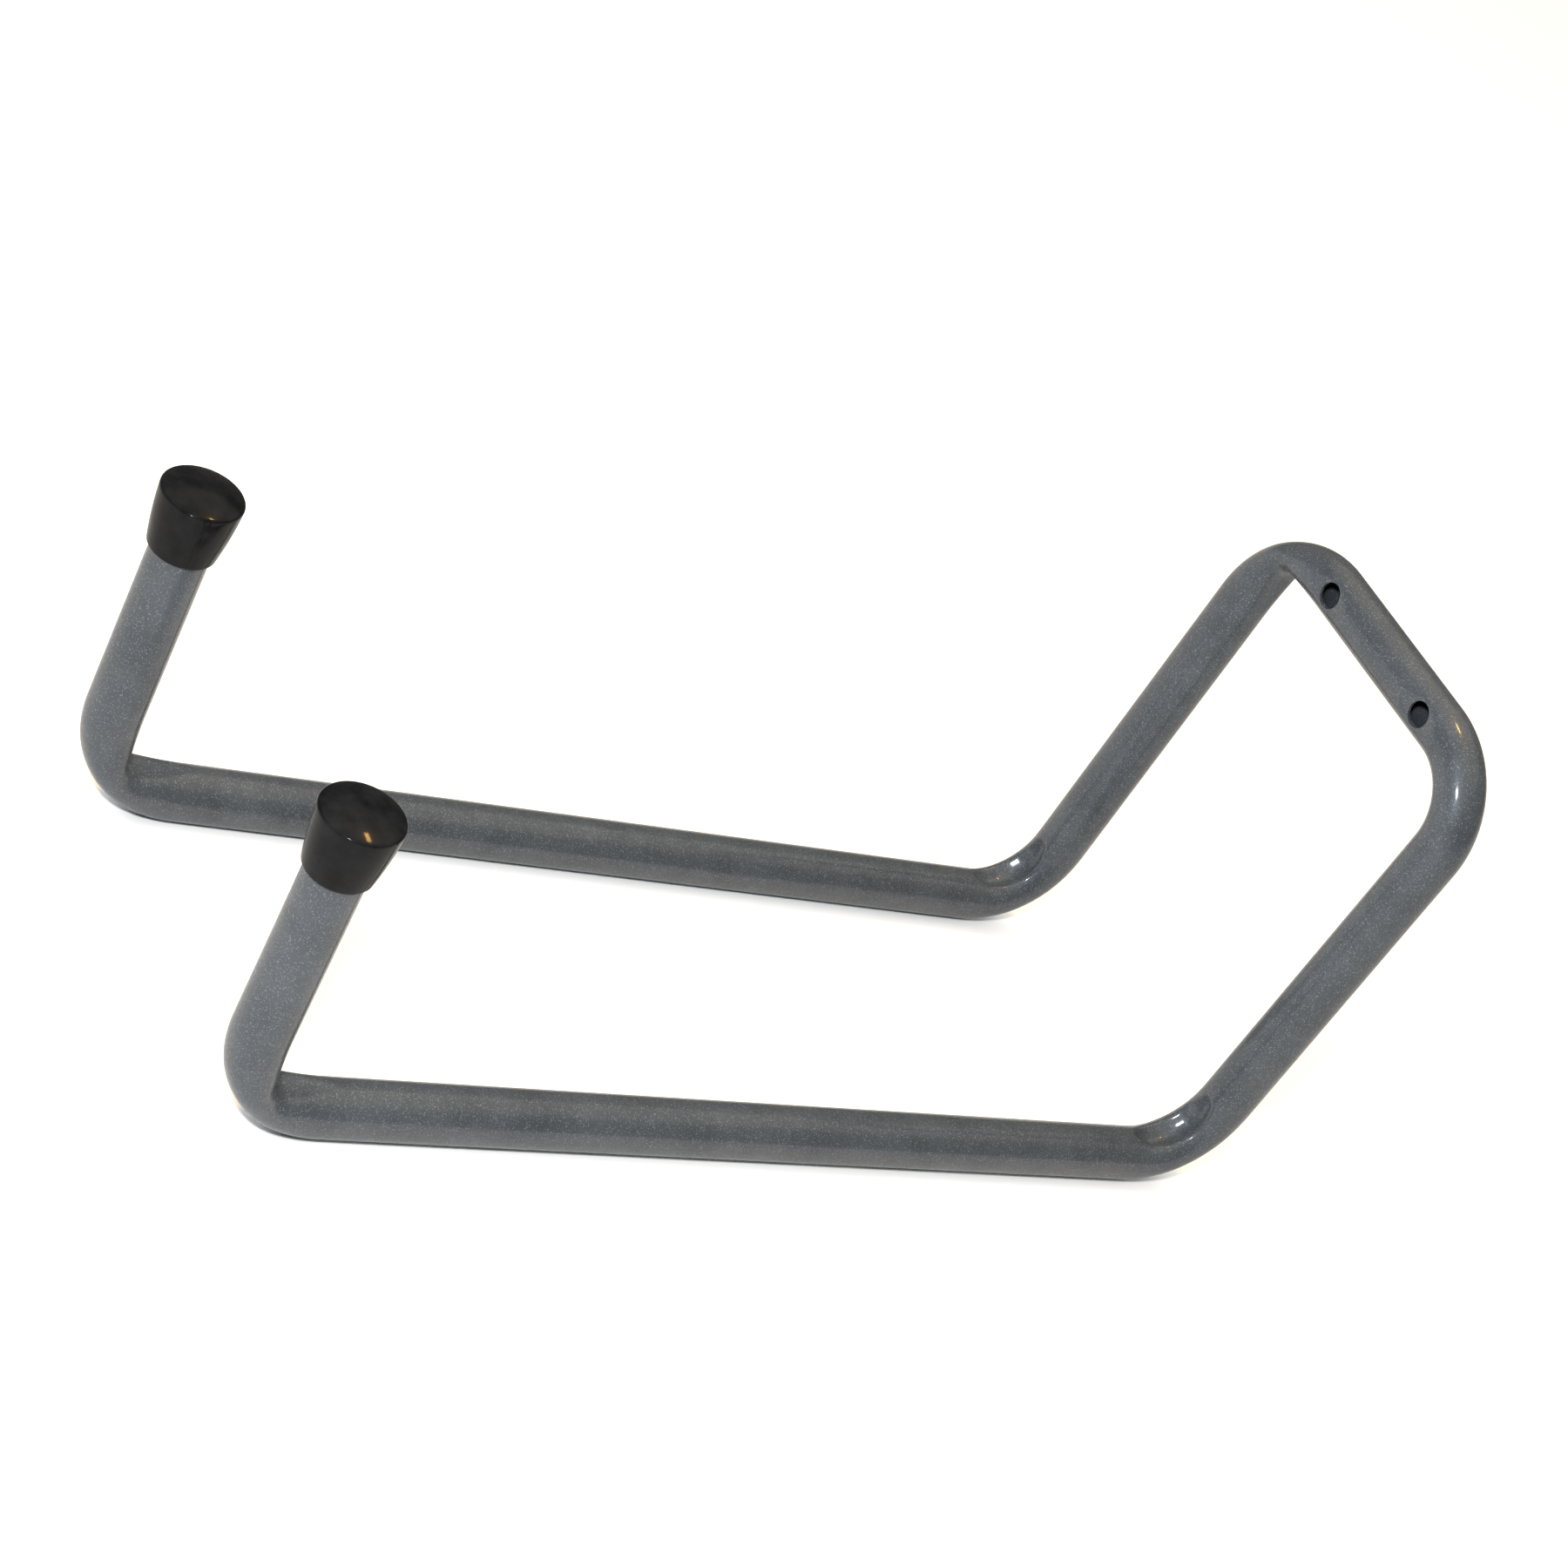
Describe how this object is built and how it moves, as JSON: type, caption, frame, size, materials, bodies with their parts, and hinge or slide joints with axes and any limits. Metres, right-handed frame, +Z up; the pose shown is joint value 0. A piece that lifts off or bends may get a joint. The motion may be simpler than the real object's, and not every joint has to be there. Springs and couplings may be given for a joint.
{
  "type": "bicycle wall rack",
  "caption": "Bent steel tube that screws to a wall and holds a bicycle by its frame on two level arms with upturned, capped tips.",
  "frame": {"origin": "midway between the two screw holes, on the wall surface that the bar rests against", "axes": "+X along the wall bar to the right side of the rack, +Y into the wall (the arms run along -Y), +Z up"},
  "size_m": [0.1632, 0.443, 0.204],
  "materials": {
    "powder_coat": "dark grey metallic powder coat, semi gloss",
    "cap_vinyl": "glossy black moulded vinyl"
  },
  "bodies": {
    "root": {"tube_frame": "powder_coat", "left_end_cap": "cap_vinyl", "right_end_cap": "cap_vinyl"}
  },
  "joints": []
}
